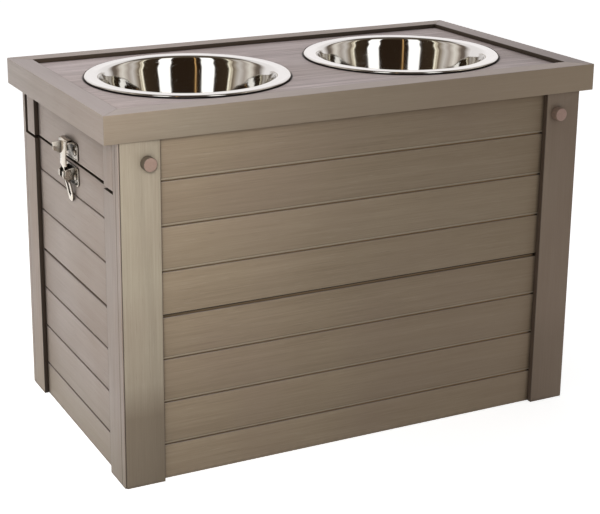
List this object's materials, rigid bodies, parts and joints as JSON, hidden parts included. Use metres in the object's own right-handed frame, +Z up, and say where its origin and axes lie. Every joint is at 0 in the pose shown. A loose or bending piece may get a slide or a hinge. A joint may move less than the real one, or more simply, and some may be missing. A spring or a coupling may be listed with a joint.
{
  "type": "elevated dog feeder with storage",
  "caption": "Raised feeder: plank-look storage chest with corner pegs, a lift-off lid holding steel bowls, and a draw latch in the middle of each side.",
  "frame": {"origin": "middle of the chest's footprint, at floor level", "axes": "+X along the length towards the right-hand bowl, +Y from front to back, +Z up; the front is the long wall facing -Y"},
  "size_m": [0.5908, 0.334, 0.4055],
  "materials": {
    "upright_boards": "satin composite, grain up the board",
    "side_uprights": "satin composite, grain up the board",
    "long_wall_planks": "satin composite, grain along the wall",
    "side_wall_planks": "satin composite, grain along the wall",
    "lid_long_rails": "satin composite, grain along the rail",
    "lid_side_rails": "satin composite, grain along the rail",
    "lid_deck_board": "satin composite, grain along the length",
    "inner_cleats": "matt composite",
    "floor_boards": "matt composite",
    "peg_composite": "matt composite dowel",
    "bowl_steel": "spun and polished bright",
    "latch_metal": "bright nickel plate",
    "screw_metal": "bright nickel plate"
  },
  "bodies": {
    "chest": {"back_floor_batten": "floor_boards", "back_left_cleat": "inner_cleats", "back_left_peg": "peg_composite", "back_left_post": "upright_boards", "back_lower_planks": "long_wall_planks", "back_right_cleat": "inner_cleats", "back_right_peg": "peg_composite", "back_right_post": "upright_boards", "back_upper_planks": "long_wall_planks", "floor_panel": "floor_boards", "front_floor_batten": "floor_boards", "front_left_cleat": "inner_cleats", "front_left_peg": "peg_composite", "front_left_post": "upright_boards", "front_lower_planks": "long_wall_planks", "front_right_cleat": "inner_cleats", "front_right_peg": "peg_composite", "front_right_post": "upright_boards", "front_upper_planks": "long_wall_planks", "left_back_stile": "side_uprights", "left_front_stile": "side_uprights", "left_latch_base": "latch_metal", "left_latch_base_screws": "screw_metal", "left_latch_rivets": "screw_metal", "left_lower_planks": "side_wall_planks", "left_upper_planks": "side_wall_planks", "right_back_stile": "side_uprights", "right_front_stile": "side_uprights", "right_latch_base": "latch_metal", "right_latch_base_screws": "screw_metal", "right_latch_rivets": "screw_metal", "right_lower_planks": "side_wall_planks", "right_upper_planks": "side_wall_planks"},
    "lid": {"left_latch_keeper": "latch_metal", "left_latch_keeper_screws": "screw_metal", "left_skirt_back_stub": "side_uprights", "left_skirt_cleat": "inner_cleats", "left_skirt_front_stub": "side_uprights", "left_skirt_planks": "side_wall_planks", "lid_back_rail": "lid_long_rails", "lid_deck": "lid_deck_board", "lid_front_rail": "lid_long_rails", "lid_left_rail": "lid_side_rails", "lid_right_rail": "lid_side_rails", "right_latch_keeper": "latch_metal", "right_latch_keeper_screws": "screw_metal", "right_skirt_back_stub": "side_uprights", "right_skirt_cleat": "inner_cleats", "right_skirt_front_stub": "side_uprights", "right_skirt_planks": "side_wall_planks"},
    "left_bowl": {"left_bowl": "bowl_steel"},
    "left_latch_lever": {"left_latch_lever": "latch_metal", "left_latch_link_pin": "screw_metal"},
    "left_latch_arm": {"left_latch_arm": "latch_metal"},
    "right_bowl": {"right_bowl": "bowl_steel"},
    "right_latch_lever": {"right_latch_lever": "latch_metal", "right_latch_link_pin": "screw_metal"},
    "right_latch_arm": {"right_latch_arm": "latch_metal"}
  },
  "joints": [
    {"name": "lid_lift", "type": "slide", "parent": "chest", "child": "lid", "axis": [0, 0, 1], "range_m": [0, 0.25]},
    {"name": "left_bowl_lift", "type": "slide", "parent": "lid", "child": "left_bowl", "axis": [0, 0, 1], "range_m": [0, 0.09]},
    {"name": "right_bowl_lift", "type": "slide", "parent": "lid", "child": "right_bowl", "axis": [0, 0, 1], "range_m": [0, 0.09]},
    {"name": "left_lever_swing", "type": "hinge", "parent": "chest", "child": "left_latch_lever", "pos_m": [-0.2825, 0, 0.3075], "axis": [0, 1, 0], "range_deg": [0, 110]},
    {"name": "left_arm_swing", "type": "hinge", "parent": "left_latch_lever", "child": "left_latch_arm", "pos_m": [-0.2815, 0, 0.301], "axis": [0, 1, 0], "range_deg": [-143, 0]},
    {"name": "right_lever_swing", "type": "hinge", "parent": "chest", "child": "right_latch_lever", "pos_m": [0.2825, 0, 0.3075], "axis": [0, -1, 0], "range_deg": [0, 110]},
    {"name": "right_arm_swing", "type": "hinge", "parent": "right_latch_lever", "child": "right_latch_arm", "pos_m": [0.2815, 0, 0.301], "axis": [0, -1, 0], "range_deg": [-143, 0]}
  ],
  "couplings": [
    {"joint": "left_arm_swing", "follows": "left_lever_swing", "ratio": -1.3},
    {"joint": "right_arm_swing", "follows": "right_lever_swing", "ratio": -1.3}
  ]
}
